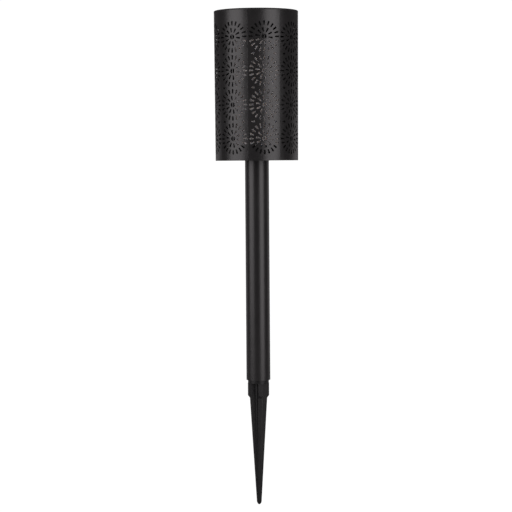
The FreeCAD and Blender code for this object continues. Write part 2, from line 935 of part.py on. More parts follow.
def lead(across, up, foot, top, diameter):
    """One straight insulated wire."""
    return Part.makeCylinder(
        diameter.value / 2, (top - foot).value, Vector(across.value, up.value, foot.value)
    )


def battery_leads(doc):
    """Two wires from the board down the middle of the former to the battery case."""
    foot = level.roof_foot - size.case_wall
    wires = [
        lead(ZERO, level.lead_place * side, foot, level.board_foot, size.lead_diameter)
        for side in (-1, 1)
    ]
    return group(doc, "battery_leads", wires)


def panel_leads(doc):
    """Two short wires from the panel through the cap to the board."""
    wires = [
        lead(level.panel_lead * side, ZERO, level.board_top, level.panel_floor, size.lead_diameter)
        for side in (-1, 1)
    ]
    return group(doc, "panel_leads", wires)


# ---------------------------------------------------------------- battery case

def battery_case(doc):
    """A flat drum that roofs the battery: its skirt clears the brackets and its ring centres the light tube."""
    skirt_radius = level.foot_bore - size.case_gap
    skirt_foot = level.base_top + size.bracket_height + size.bracket_gap
    ring_outer = level.tube_bore - size.slip_fit
    ring_top = level.case_top + size.tube_seat_depth
    body = turned_piece(doc, "battery_case", [
        (ZERO, level.roof_foot),
        (level.body_bore, level.roof_foot),
        (level.body_bore, level.case_foot),
        (level.body_radius, level.case_foot),
        (level.body_radius, level.roof_foot),
        (skirt_radius - size.case_wall, level.roof_foot),
        (skirt_radius - size.case_wall, skirt_foot),
        (skirt_radius, skirt_foot),
        (skirt_radius, level.case_top),
        (ring_outer, level.case_top),
        (ring_outer, ring_top),
        (ring_outer - size.case_wall, ring_top),
        (ring_outer - size.case_wall, level.case_top),
        (ZERO, level.case_top),
    ])
    inside = level.roof_foot - level.floor_top
    for side in (-1, 1):
        wall = rectangle(
            (level.cradle + size.cradle_wall / 2) * side, ZERO, size.cradle_wall, size.battery_diameter
        )
        pad(body, draw_outline(new_sketch(body, "XY_Plane", level.floor_top), wall), inside)
        bore(
            body, size.lead_diameter / 2 + size.loose_fit, ZERO, level.lead_place * side,
            level.roof_foot, size.case_wall,
        )
    strut_slots(body, level.roof_foot, size.case_wall)
    post(body, level.post_radius, level.door_screw, ZERO, level.floor_top, inside)
    bore(body, level.screw_radius, level.door_screw, ZERO, level.floor_top, inside / 2)
    boss = post(body, level.post_radius, ZERO, level.post_circle, level.floor_top, inside)
    pilot = bore(body, level.screw_radius, ZERO, level.post_circle, level.floor_top, inside / 2)
    ring = pattern(body, boss, FLOOR_SCREWS)
    ring.Originals = [boss, pilot]
    return body


def screw_seat():
    """How far above the case's foot the heads of its screws sit."""
    return level.case_foot + size.screw_sink


def screw_sockets(body, across, up):
    """A screw hole and its counterbore in the floor or the door."""
    hole = bore(
        body, level.screw_radius + size.slip_fit, across, up, level.case_foot, size.floor_thickness
    )
    sink = bore(
        body, size.screw_head_diameter / 2 + size.slip_fit, across, up, level.case_foot,
        size.screw_sink,
    )
    return [hole, sink]


def case_floor(doc):
    """The round floor of the battery case, open for the battery door and the switch knob."""
    body = turned_piece(doc, "case_floor", [
        (ZERO, level.case_foot),
        (level.floor_radius, level.case_foot),
        (level.floor_radius, level.floor_top),
        (ZERO, level.floor_top),
    ])
    gap = size.loose_fit * 2
    sketch = new_sketch(body, "XY_Plane", level.case_foot)
    door_length, door_width = level.door_half_length * 2, level.door_half_width * 2
    draw_outline(sketch, rectangle(ZERO, ZERO, door_length + gap, door_width + gap))
    slot = size.knob_length + size.switch_travel + gap
    draw_outline(sketch, rectangle(ZERO, -level.switch_place, slot, size.knob_width + gap))
    pocket(body, sketch, size.floor_thickness, True)
    sockets = screw_sockets(body, ZERO, level.post_circle)
    ring = pattern(body, sockets[0], FLOOR_SCREWS)
    ring.Originals = sockets
    return body


def floor_screws(doc):
    fastener = screw(screw_seat(), level.floor_top - screw_seat() + size.screw_bite)
    return group(doc, "floor_screws", on_circle(fastener, level.post_circle, FLOOR_SCREWS, 90))


def battery_door(doc):
    body = plate_piece(
        doc, "battery_door", rectangle(ZERO, ZERO, level.door_half_length * 2, level.door_half_width * 2),
        level.case_foot, size.floor_thickness,
    )
    screw_sockets(body, level.door_screw, ZERO)
    return body


def door_screw(doc):
    fastener = screw(screw_seat(), level.floor_top - screw_seat() + size.screw_bite)
    return group(doc, "door_screw", on_circle(fastener, level.door_screw, 1))


def battery_cell(doc):
    """A rechargeable cell lying across the case, with the raised button of its positive end."""
    radius, half = size.battery_diameter.value / 2, size.battery_length.value / 2
    button_radius, button = size.button_diameter.value / 2, size.button_height.value
    height = level.battery_axis.value
    along = Vector(1, 0, 0)
    can = Part.makeCylinder(radius, half * 2 - button, Vector(-half, 0, height), along)
    can = can.makeFillet(size.loose_fit.value, [can.Edges[0], can.Edges[2]])
    tip = Part.makeCylinder(button_radius, button, Vector(half - button, 0, height), along)
    return group(doc, "battery_cell", can.fuse(tip).removeSplitter().Solids)


def battery_contacts(doc):
    """A sprung plate at each end of the cell."""
    thickness, side = size.contact_thickness.value, size.contact_side.value
    plates = []
    for end in (-1, 1):
        plate = Part.makeBox(thickness, side, side)
        plate.translate(Vector(-thickness / 2, -side / 2, level.battery_axis.value - side / 2))
        place = (level.cradle - size.contact_thickness / 2).value
        dome_height = place - thickness / 2 - size.battery_length.value / 2
        dome = Part.makeCone(
            size.contact_foot_diameter.value / 2, size.contact_tip_diameter.value / 2, dome_height,
            Vector(-thickness / 2, 0, level.battery_axis.value), Vector(-1, 0, 0),
        )
        contact = plate.fuse(dome).removeSplitter()
        contact.translate(Vector(place, 0, 0))
        if end < 0:
            contact.rotate(Vector(0, 0, 0), Vector(0, 0, 1), 180)
        plates.append(contact)
    return group(doc, "battery_contacts", plates)


def switch_body(doc):
    return plate_piece(
        doc, "switch_body",
        rectangle(ZERO, -level.switch_place, size.switch_length, size.switch_width),
        level.floor_top, size.switch_height,
    )


def switch_knob(doc):
    """The knob of the slide switch, shown at its off end; it slides towards +X."""
    reach = size.knob_reach + size.floor_thickness - size.slip_fit
    return plate_piece(
        doc, "switch_knob",
        rectangle(-level.knob_start, -level.switch_place, size.knob_length, size.knob_width),
        level.case_foot - size.knob_reach, reach,
    )


# ---------------------------------------------------------------- build and write

PIECES = [
    ground_spike,
    pole_tube,
    pierced_shade,
    base_plate,
    shade_brackets,
    base_screws,
    rubber_seat,
    solar_cap,
    panel_board,
    solar_wafers,
    panel_resin,
    housing_cover,
    cover_screws,
    control_board,
    board_parts,
    board_screws,
    diffuser_tube,
    tube_struts,
    led_former,
    led_strip,
    flame_leds,
    battery_leads,
    panel_leads,
    battery_case,
    case_floor,
    floor_screws,
    battery_door,
    door_screw,
    battery_cell,
    battery_contacts,
    switch_body,
    switch_knob,
]


def check(doc, pieces):
    """Stop with a plain message if any object failed or any piece has no sound shape."""
    failed = [item.Label for item in doc.Objects if {"Invalid", "Error"} & set(item.State)]
    if failed:
        raise RuntimeError(f"these objects failed to build: {failed}")
    for piece in pieces:
        shape = piece.Shape
        if shape.isNull() or not shape.isValid() or not shape.Solids:
            raise RuntimeError(f"{piece.Label} has no valid solid")


def main():
    doc = FreeCAD.newDocument("solar_torch")
    add_sheet(doc)
    pieces = [make(doc) for make in PIECES]
    doc.recompute()
    check(doc, pieces)
    os.makedirs("parts", exist_ok=True)
    for piece in pieces:
        piece.Shape.exportStep(f"parts/{piece.Label}.step")
        print(f"{piece.Label}: {len(piece.Shape.Solids)} solid(s), {piece.Shape.Volume:.0f} mm3")


main()
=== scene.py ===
"""Looks of the solar garden torch: its pierced shade, its finishes and a plain studio, round the CAD frame.

Lengths are in metres in the frame's own axes: +Z runs up the pole from the tip of the spike, and -Y is
the front.
"""

import math

import bpy
import numpy as np
from bpy.props import FloatProperty, FloatVectorProperty, IntProperty, PointerProperty
from mathutils import Matrix, Vector


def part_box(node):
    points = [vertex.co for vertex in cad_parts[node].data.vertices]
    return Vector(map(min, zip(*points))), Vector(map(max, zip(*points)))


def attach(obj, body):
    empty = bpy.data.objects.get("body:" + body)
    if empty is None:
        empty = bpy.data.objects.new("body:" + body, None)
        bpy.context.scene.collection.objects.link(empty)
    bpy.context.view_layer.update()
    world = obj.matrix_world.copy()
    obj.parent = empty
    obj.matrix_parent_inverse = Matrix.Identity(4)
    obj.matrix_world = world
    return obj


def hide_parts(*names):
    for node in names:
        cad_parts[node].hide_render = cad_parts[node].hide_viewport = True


bl_info = {
    "name": "Solar garden torch",
    "version": (1, 0, 0),
    "blender": (4, 5, 0),
    "location": "3D View > Sidebar > Torch",
    "description": "Pierced shade, finishes and studio of a solar garden torch",
    "category": "Add Mesh",
}

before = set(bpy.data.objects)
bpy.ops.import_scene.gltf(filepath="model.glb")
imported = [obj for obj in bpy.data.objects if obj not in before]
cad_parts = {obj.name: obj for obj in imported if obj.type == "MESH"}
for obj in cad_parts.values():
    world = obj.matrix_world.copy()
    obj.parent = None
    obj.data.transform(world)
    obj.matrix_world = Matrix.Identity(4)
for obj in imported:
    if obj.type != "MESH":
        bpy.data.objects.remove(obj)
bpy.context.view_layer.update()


def node_points(node):
    """The CAD node's points as an array of rows x, y, z."""
    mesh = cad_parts[node].data
    points = np.empty(len(mesh.vertices) * 3)
    mesh.vertices.foreach_get("co", points)
    return points.reshape(-1, 3)


def radii_at(node, height):
    """The smallest and largest distance from the pole's axis among the node's points at one height."""
    points = node_points(node)
    near = np.abs(points[:, 2] - height) < 1e-6
    radius = np.hypot(points[near, 0], points[near, 1])
    return radius.min(), radius.max()


SHADE_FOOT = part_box("pierced_shade")[0].z
SHADE_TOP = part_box("pierced_shade")[1].z
FOOT_BORE, FOOT_RADIUS = radii_at("pierced_shade", SHADE_FOOT)
TOP_RADIUS = radii_at("pierced_shade", SHADE_TOP)[1]
SHEET = FOOT_RADIUS - FOOT_BORE
SEAM_ANGLE = math.radians(-112.5)


# Settings

class ShadeSettings(bpy.types.PropertyGroup):
    """Sizes of the rosettes that are pierced in the sheet."""

    columns: IntProperty(name="Columns", description="Rosettes round the shade", default=8, min=3)
    rows: IntProperty(name="Rows", description="Rosettes up the shade", default=4, min=1)
    first_row: FloatProperty(
        name="First row", description="Height of the lowest rosettes' centres above the shade's foot",
        default=0.02865, unit="LENGTH")
    row_pitch: FloatProperty(
        name="Row pitch", description="Height from one row of rosettes to the next",
        default=0.04417, unit="LENGTH")
    petal_start: FloatProperty(
        name="Petal start", description="Radius where an outer petal begins",
        default=0.0145, unit="LENGTH")
    petal_end: FloatProperty(
        name="Petal end", description="Radius where an outer petal ends", default=0.0206, unit="LENGTH")
    petal_foot: FloatProperty(
        name="Petal foot", description="Width of an outer petal at its inner end",
        default=0.0019, unit="LENGTH")
    petal_head: FloatProperty(
        name="Petal head", description="Width of an outer petal at its outer end",
        default=0.0025, unit="LENGTH")
    inner_start: FloatProperty(
        name="Inner start", description="Radius where an inner petal begins",
        default=0.0057, unit="LENGTH")
    inner_end: FloatProperty(
        name="Inner end", description="Radius where an inner petal ends", default=0.0118, unit="LENGTH")
    inner_foot: FloatProperty(
        name="Inner foot", description="Width of an inner petal at its inner end",
        default=0.0016, unit="LENGTH")
    inner_head: FloatProperty(
        name="Inner head", description="Width of an inner petal at its outer end",
        default=0.0025, unit="LENGTH")
    moon_radius: FloatProperty(
        name="Moon radius", description="Radius of the two half moons in the middle",
        default=0.0033, unit="LENGTH")
    moon_gap: FloatProperty(
        name="Moon gap", description="Width of the bar between the half moons",
        default=0.001, unit="LENGTH")
    drop_tip: FloatProperty(
        name="Drop tip", description="Distance of a teardrop's point from the column's edge",
        default=0.004, unit="LENGTH")
    drop_length: FloatProperty(
        name="Drop length", description="Length of a teardrop", default=0.0051, unit="LENGTH")
    drop_width: FloatProperty(
        name="Drop width", description="Width of a teardrop's round end", default=0.0031, unit="LENGTH")
    flatness: FloatProperty(
        name="Flatness", description="How much flatter each panel is than the round of the shade",
        default=0.035, min=0.0, max=1.0, subtype="FACTOR")
    fade: FloatProperty(
        name="Fade", description="Height over which the panels turn round again at the ends of the shade",
        default=0.009, unit="LENGTH")
    crease: FloatProperty(
        name="Crease", description="Half the width of the crease between two panels",
        default=0.00025, unit="LENGTH")
    seam_depth: FloatProperty(
        name="Seam depth", description="Depth of the sheet's butt seam", default=0.0003, unit="LENGTH")


class FinishSettings(bpy.types.PropertyGroup):
    """Colours of the main finishes."""

    coat: FloatVectorProperty(
        name="Coat", description="Powder coat on the shade and the pole", subtype="COLOR",
        default=(0.012, 0.0112, 0.0115), min=0.0, max=1.0)
    plastic: FloatVectorProperty(
        name="Plastic", description="Moulded plastic of the spike and the cap", subtype="COLOR",
        default=(0.010, 0.010, 0.0105), min=0.0, max=1.0)
    tube: FloatVectorProperty(
        name="Tube", description="Frosted light tube", subtype="COLOR",
        default=(0.82, 0.785, 0.77), min=0.0, max=1.0)


class StageSettings(bpy.types.PropertyGroup):
    """Where the camera stands and what it sees."""

    camera_turn: FloatProperty(
        name="Camera turn", description="How far the camera stands to the left of the front", subtype="ANGLE",
        default=math.radians(10.9))
    camera_distance: FloatProperty(
        name="Camera distance", description="Distance of the camera from the pole's axis", default=2.45,
        unit="LENGTH")
    camera_height: FloatProperty(
        name="Camera height", description="Height of the camera above the floor",
        default=0.4614, unit="LENGTH")
    aim_height: FloatProperty(
        name="Aim height", description="Height on the axis that is in the middle of the picture",
        default=0.3341, unit="LENGTH")
    aim_side: FloatProperty(
        name="Aim side", description="How far left of the axis the camera aims",
        default=0.0021, unit="LENGTH")
    view_width: FloatProperty(
        name="View width", description="Width of the picture at the axis", default=0.684, unit="LENGTH")
    roll: FloatProperty(
        name="Roll", description="How far the camera leans", subtype="ANGLE",
        default=math.radians(-0.4))


# Flat pattern of the pierced sheet: x runs round the shade and y up it

def turned(points, angle):
    """Points turned about the origin by an angle from +Y towards +X."""
    x, y = points[..., 0], points[..., 1]
    cos, sin = math.cos(angle), math.sin(angle)
    return np.stack([x * cos + y * sin, y * cos - x * sin], axis=-1)


def arc(radius, start, end, steps, centre=(0.0, 0.0)):
    """Points on a circle between two angles, each measured from +Y towards +X."""
    angle = np.linspace(start, end, steps + 1)
    return np.stack([np.sin(angle), np.cos(angle)], axis=-1) * radius + np.array(centre)


def line(start, end, steps):
    """Evenly spaced points on a straight line, with both its ends."""
    share = np.linspace(0.0, 1.0, steps + 1)[:, None]
    return np.array(start) * (1 - share) + np.array(end) * share


def loop(*chains):
    """One closed loop from chains that each begin where the one before ends."""
    return np.concatenate([chain[:-1] for chain in chains])


def band(outer, inner, closed=True, rings=1):
    """Quads between two chains of as many points, both anticlockwise: a straight blend between them."""
    share = np.linspace(0.0, 1.0, rings + 1)[:, None, None]
    grid = outer * (1 - share) + inner * share
    if closed:
        grid = np.concatenate([grid, grid[:, :1]], axis=1)
    corners = grid[:-1, :-1], grid[:-1, 1:], grid[1:, 1:], grid[1:, :-1]
    return np.stack(corners, axis=2).reshape(-1, 4, 2)


# Steps along the parts of a petal's outline
CORNER_STEPS = 3
HEAD_STEPS = 2
END_STEPS = 2 * CORNER_STEPS + HEAD_STEPS
SIDE_STEPS = 2
FOOT_STEPS = 4
# Steps along the rest of a cell
MOON_STEPS = 20
BAR_STEPS = 4
DROP_END_STEPS = 4
DROP_SIDE_STEPS = 2
SIDE_POINTS = 41
MIDDLE_POINTS = 13
MIDDLE_DEGREES = 27.0
OUTER_PETALS = 20
INNER_PETALS = 10
INNER_TURN = math.radians(-9.0)
PETAL_CORNER = 0.72
RING_MARGIN = 0.0006
# Rows of quads in the plain bands at the ends of the sheet
FOOT_ROWS = 3
TOP_ROWS = 6
# Points closer than one of this many parts of the sheet's length are the same point
WELD_PARTS = 10**7


def petal_outline(start, end, foot, head):
    """A petal: straight sides that widen outwards, a half circle at the foot, rounded corners at the head."""
    foot_half, head_half = foot / 2, head / 2
    corner = head_half * PETAL_CORNER
    flat = head_half - corner
    right = arc(corner, math.pi / 2, 0.0, CORNER_STEPS, (flat, end - corner))
    left = arc(corner, 0.0, -math.pi / 2, CORNER_STEPS, (-flat, end - corner))
    top = np.concatenate([right, line(right[-1], left[0], HEAD_STEPS)[1:-1], left])
    bottom = arc(foot_half, -math.pi / 2, -3 * math.pi / 2, FOOT_STEPS, (0.0, start + foot_half))
    return loop(top, line(top[-1], bottom[0], SIDE_STEPS), bottom, line(bottom[-1], top[0], SIDE_STEPS))


def petal_sector(half, inner, outer, outline):
    """Quads that fill one sector of a ring round its petal."""
    top = arc(outer, half, -half, END_STEPS)
    bottom = arc(inner, -half, half, FOOT_STEPS)
    rim = loop(top, line(top[-1], bottom[0], SIDE_STEPS), bottom, line(bottom[-1], top[0], SIDE_STEPS))
    return band(rim, outline)


def petal_ring(count, first, inner, outer, outline):
    """A whole ring of sectors; the first petal points at the given angle."""
    sector = petal_sector(math.pi / count, inner, outer, outline)
    return np.concatenate([turned(sector, first + 2 * math.pi * k / count) for k in range(count)])


def half_moons(hub, shade):
    """The disc inside the inner petals: two half moons with a bar between them."""
    radius, half_bar = shade.moon_radius, shade.moon_gap / 2
    tip = math.asin(half_bar / radius)
    rim = loop(arc(hub, math.pi, 0.0, MOON_STEPS), line((0.0, hub), (0.0, -hub), BAR_STEPS))
    round_side = arc(radius, math.pi - tip, tip, MOON_STEPS)
    moon = loop(round_side, line(round_side[-1], round_side[0], BAR_STEPS))
    right = band(rim, moon)
    left = right[:, ::-1] * np.array([-1.0, 1.0])
    return np.concatenate([right, left])


def drop_outline(half_column, shade):
    """Lower half of a teardrop from its point to its round end: a straight side, then a circle's arc."""
    radius = shade.drop_width / 2
    tip = half_column - shade.drop_tip
    round_end = tip - shade.drop_length
    centre = (round_end + radius, 0.0)
    reach = math.acos(radius / (tip - centre[0]))
    end = arc(radius, math.pi / 2 + reach, 3 * math.pi / 2, DROP_END_STEPS, centre)
    return np.concatenate([line((tip, 0.0), end[0], DROP_SIDE_STEPS), end[1:]])


def cell_edge(half_column, half_row, shade, pierced):
    """The cell's upper edge from right to left; where it is pierced it dips round half of each teardrop."""
    corner = half_column - shade.crease
    drop = drop_outline(half_column, shade) * np.array([1.0, 1.0 if pierced else 0.0])
    middle = corner * np.tan(np.radians(np.linspace(MIDDLE_DEGREES, 0.0, MIDDLE_POINTS)))
    middle = np.stack([middle, np.zeros(MIDDLE_POINTS)], axis=-1)
    right = np.concatenate([[[corner, 0.0]], drop, middle])
    left = right[-2::-1] * np.array([-1.0, 1.0])
    return np.concatenate([right, left]) + np.array([0.0, half_row])


def rosette_cell(half_column, half_row, shade, pierced_above, pierced_below):
    """One column and row of the sheet: half moons, two rings of petals and a frame out to the edge."""
    hub = (shade.moon_radius + shade.inner_start) / 2
    waist = (shade.inner_end + shade.petal_start) / 2
    rim = shade.petal_end + RING_MARGIN
    inner = petal_outline(shade.inner_start, shade.inner_end, shade.inner_foot, shade.inner_head)
    outer = petal_outline(shade.petal_start, shade.petal_end, shade.petal_foot, shade.petal_head)
    side_x = half_column - shade.crease
    side_y = half_row * np.tan(np.radians(np.linspace(-45.0, 45.0, SIDE_POINTS)))
    right = np.stack([np.full(SIDE_POINTS, side_x), side_y], axis=-1)
    top = cell_edge(half_column, half_row, shade, pierced_above)
    bottom = -cell_edge(half_column, half_row, shade, pierced_below)
    edge = loop(top, -right, bottom, right)
    strip = band(np.stack([np.full(SIDE_POINTS, half_column), side_y], axis=-1), right, closed=False)
    ring = arc(rim, math.pi / 4, -7 * math.pi / 4, len(edge))[:-1]
    return np.concatenate([
        half_moons(hub, shade),
        petal_ring(INNER_PETALS, INNER_TURN, hub, waist, inner),
        petal_ring(OUTER_PETALS, 0.0, waist, rim, outer),
        band(edge, ring, rings=2),
        strip,
        -strip,
    ])


def plain_band(half_column, shade, low, high, rows):
    """The unpierced band at one end of the sheet, on the same uprights as the cells."""
    edge = cell_edge(half_column, 0.0, shade, False)[::-1, 0]
    across = np.concatenate([[-half_column], edge, [half_column]])
    x, y = np.meshgrid(across, np.linspace(low, high, rows + 1))
    grid = np.stack([x, y], axis=-1)
    corners = grid[:-1, :-1], grid[:-1, 1:], grid[1:, 1:], grid[1:, :-1]
    return np.stack(corners, axis=2).reshape(-1, 4, 2)


def sheet_pattern(shade, half_column):
    """All quads of the unrolled sheet, column by column, with y from 0 at the foot."""
    half_row = shade.row_pitch / 2
    parts = []
    for row in range(shade.rows):
        cell = rosette_cell(half_column, half_row, shade, row < shade.rows - 1, row > 0)
        parts.append(cell + np.array([0.0, shade.first_row + shade.row_pitch * row]))
    low = shade.first_row - half_row
    high = low + shade.row_pitch * shade.rows
    parts.append(plain_band(half_column, shade, 0.0, low, FOOT_ROWS))
    parts.append(plain_band(half_column, shade, high, SHADE_TOP - SHADE_FOOT, TOP_ROWS))
    column = np.concatenate(parts)
    offsets = np.arange(shade.columns)[:, None, None, None] * np.array([2 * half_column, 0.0])
    return (column[None] + offsets).reshape(-1, 4, 2)


def welded(quads, width):
    """The distinct points of the quads and each quad's four indices; x wraps round after the given width."""
    flat = quads.reshape(-1, 2)
    keys = np.round(flat / width * WELD_PARTS).astype(np.int64)
    keys[:, 0] %= WELD_PARTS
    _, first, index = np.unique(keys, axis=0, return_index=True, return_inverse=True)
    return flat[first], index.reshape(-1, 4)


def wrapped(points, depth, shade, half_column):
    """The unrolled points laid round the shade, a depth below its outer face.

    Each column is an arc flatter than the round of the shade: it turns through less than its share of the
    circle, so that neighbours meet at a faint crease.  The panels grow round again at both ends of the sheet.
    """
    along = points[:, 0] / (2 * half_column)
    column = np.round(along)
    beta = math.pi / shade.columns
    height = points[:, 1]
    rise = height / (SHADE_TOP - SHADE_FOOT)
    radius = FOOT_RADIUS + (TOP_RADIUS - FOOT_RADIUS) * rise
    to_end = np.minimum(height, SHADE_TOP - SHADE_FOOT - height) / shade.fade
    blend = np.clip(to_end, 0.0, 1.0)
    turn = 1 - shade.flatness * blend * blend * (3 - 2 * blend)
    flat_radius = radius * math.sin(beta) / np.sin(turn * beta)
    sag = radius * (1 - math.cos(beta)) - flat_radius * (1 - np.cos(turn * beta))
    centre = radius * math.cos(beta) - flat_radius * np.cos(turn * beta) + sag * 2 / 3
    angle = (along - column) * 2 * beta * turn
    side = (flat_radius - depth) * np.sin(angle)
    out = centre + (flat_radius - depth) * np.cos(angle)
    facing = SEAM_ANGLE + (column + 0.5) * 2 * beta
    x = out * np.cos(facing) - side * np.sin(facing)
    y = out * np.sin(facing) + side * np.cos(facing)
    return np.stack([x, y, SHADE_FOOT + height], axis=-1)


def open_edges(faces):
    """Directed edges that no neighbouring face runs along the other way."""
    start, end = faces, np.roll(faces, -1, axis=1)
    edges = np.stack([start.ravel(), end.ravel()], axis=-1)
    count = int(faces.max()) + 1
    forward = edges[:, 0] * count + edges[:, 1]
    backward = edges[:, 1] * count + edges[:, 0]
    return edges[~np.isin(forward, backward)]


def pierced_sheet(shade):
    """Points, faces and cut mask of the whole sheet: both skins and the cut walls between them."""
    half_column = (FOOT_RADIUS + TOP_RADIUS) / 2 * math.pi / shade.columns
    width = 2 * half_column * shade.columns
    points, faces = welded(sheet_pattern(shade, half_column), width)
    seam = np.abs(np.mod(points[:, 0] + half_column + width / 2, width) - width / 2) < 1e-9
    outer = wrapped(points, np.where(seam, shade.seam_depth, 0.0), shade, half_column)
    inner = wrapped(points, np.full(len(points), SHEET), shade, half_column)
    edges = open_edges(faces)
    count = len(points)
    walls = np.stack([edges[:, 1], edges[:, 0], edges[:, 0] + count, edges[:, 1] + count], axis=-1)
    cut = np.concatenate([np.zeros(len(faces)), np.ones(len(faces) + len(walls))])
    return np.concatenate([outer, inner]), np.concatenate([faces, faces[:, ::-1] + count, walls]), cut


# Pieces

def add_piece(name, points, faces, cut, body, material):
    """A new piece of the torch from points and quads, riding on a body of the frame.

    The cut mask is 1 on the faces inside the sheet and its piercings, and 0 on the outer skin.
    """
    mesh = bpy.data.meshes.new(name)
    mesh.from_pydata(points.tolist(), [], faces.tolist())
    mask = mesh.attributes.new("cut", "FLOAT", "FACE")
    mask.data.foreach_set("value", cut.astype(np.float32))
    mesh.validate()
    mesh.shade_smooth()
    mesh.set_sharp_from_angle(angle=math.radians(30.0))
    mesh.materials.append(material)
    piece = bpy.data.objects.new(name, mesh)
    bpy.context.scene.collection.objects.link(piece)
    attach(piece, body)
    return piece


def dress(material, *nodes):
    """Gives CAD nodes their finish."""
    for node in nodes:
        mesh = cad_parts[node].data
        mesh.materials.clear()
        mesh.materials.append(material)


# Shader nodes

def add_node(tree, kind, inputs=None, **settings):
    """Adds a shader node, sets its settings, and joins or sets its inputs by name or number."""
    node = tree.nodes.new(kind)
    for name, value in settings.items():
        setattr(node, name, value)
    for name, value in (inputs or {}).items():
        if isinstance(value, bpy.types.NodeSocket):
            tree.links.new(value, node.inputs[name])
        else:
            node.inputs[name].default_value = value
    return node


def math_node(tree, operation, first, second=0.0):
    """The result of a Math node, held between 0 and 1."""
    node = add_node(tree, "ShaderNodeMath", {0: first, 1: second}, operation=operation, use_clamp=True)
    return node.outputs[0]


def multiply_add(tree, first, second, third):
    """The first value times the second, plus the third."""
    node = add_node(tree, "ShaderNodeMath", {0: first, 1: second, 2: third}, operation="MULTIPLY_ADD")
    return node.outputs[0]


def remap(tree, value, low, high, new_low, new_high):
    """A value's range from low to high stretched onto another range, with its ends held."""
    node = add_node(tree, "ShaderNodeMapRange", {
        "Value": value, "From Min": low, "From Max": high, "To Min": new_low, "To Max": new_high})
    return node.outputs["Result"]


def blend_colours(tree, factor, first, second):
    """A mix of two colours by a mask."""
    node = add_node(tree, "ShaderNodeMix", {"Factor": factor}, data_type="RGBA")
    for socket, colour in ((6, first), (7, second)):
        if isinstance(colour, bpy.types.NodeSocket):
            tree.links.new(colour, node.inputs[socket])
        else:
            node.inputs[socket].default_value = (*colour, 1.0)
    return node.outputs[2]


def noise(tree, coordinates, scale, detail=2.0, roughness=0.5, stretch=None):
    """A noise pattern's value; stretch scales its three axes first."""
    if stretch is not None:
        mapping = add_node(tree, "ShaderNodeMapping", {"Vector": coordinates, "Scale": stretch})
        coordinates = mapping.outputs["Vector"]
    node = add_node(tree, "ShaderNodeTexNoise", {
        "Vector": coordinates, "Scale": scale, "Detail": detail, "Roughness": roughness})
    return node.outputs["Fac"]


def object_place(tree):
    """Object coordinates, which are the frame's own metres on every piece."""
    return add_node(tree, "ShaderNodeTexCoord").outputs["Object"]


def new_group(name, inputs, outputs):
    """An empty node group with number inputs and the named outputs, and its two end nodes."""
    group = bpy.data.node_groups.new(name, "ShaderNodeTree")
    for title, value in inputs.items():
        socket = group.interface.new_socket(title, in_out="INPUT", socket_type="NodeSocketFloat")
        socket.default_value = value
    for title in outputs:
        group.interface.new_socket(title, in_out="OUTPUT", socket_type="NodeSocketFloat")
    start = group.nodes.new("NodeGroupInput")
    end = group.nodes.new("NodeGroupOutput")
    return group, start.outputs, end.inputs


def grain_group():
    """Fine moulded or sprayed grain: small lumps on larger ones, as a height and as a mask."""
    group, given, result = new_group("surface grain", {"Lumps per metre": 2500.0}, ("Height", "Mask"))
    place = object_place(group)
    fine = noise(group, place, given["Lumps per metre"], detail=1.5)
    coarse = noise(group, place, 320.0, detail=2.0)
    mixed = multiply_add(group, coarse, 0.45, fine)
    group.links.new(mixed, result["Height"])
    group.links.new(remap(group, mixed, 0.45, 1.0, 0.0, 1.0), result["Mask"])
    return group


def patches_group():
    """Broad soft patches from handling, which change gloss and colour a little."""
    group, given, result = new_group("handling patches", {"Patches per metre": 28.0}, ("Mask",))
    place = object_place(group)
    broad = noise(group, place, given["Patches per metre"], detail=4.0, roughness=0.6)
    group.links.new(remap(group, broad, 0.35, 0.68, 0.0, 1.0), result["Mask"])
    return group


def wear_and_highlight_group():
    """Rubbed edges, as wear and as a painted edge highlight: where a rounded normal leaves the true one,
    broken up by noise.
    """
    group, given, result = new_group("edge wear and highlight", {"Radius": 0.0006, "Amount": 1.0}, ("Mask",))
    bevel = add_node(group, "ShaderNodeBevel", {"Radius": given["Radius"]}, samples=4)
    true = add_node(group, "ShaderNodeNewGeometry").outputs["Normal"]
    normals = {0: bevel.outputs["Normal"], 1: true}
    dot = add_node(group, "ShaderNodeVectorMath", normals, operation="DOT_PRODUCT")
    edge = remap(group, dot.outputs["Value"], 1.0, 0.85, 0.0, 1.0)
    broken = remap(group, noise(group, object_place(group), 260.0, detail=3.0), 0.35, 0.65, 0.35, 1.0)
    worn_and_highlight = math_node(group, "MULTIPLY", edge, broken)
    group.links.new(math_node(group, "MULTIPLY", worn_and_highlight, given["Amount"]), result["Mask"])
    return group


def dust_group():
    """Thin dust that settles on faces that look upwards."""
    group, given, result = new_group("settled dust", {"Amount": 0.3}, ("Mask",))
    normal = add_node(group, "ShaderNodeNewGeometry").outputs["Normal"]
    upward = add_node(group, "ShaderNodeSeparateXYZ", {0: normal}).outputs["Z"]
    facing = remap(group, upward, 0.55, 1.0, 0.0, 1.0)
    specks = noise(group, object_place(group), 95.0, detail=5.0, roughness=0.65)
    cloud = remap(group, specks, 0.4, 0.7, 0.15, 1.0)
    settled = math_node(group, "MULTIPLY", facing, cloud)
    group.links.new(math_node(group, "MULTIPLY", settled, given["Amount"]), result["Mask"])
    return group


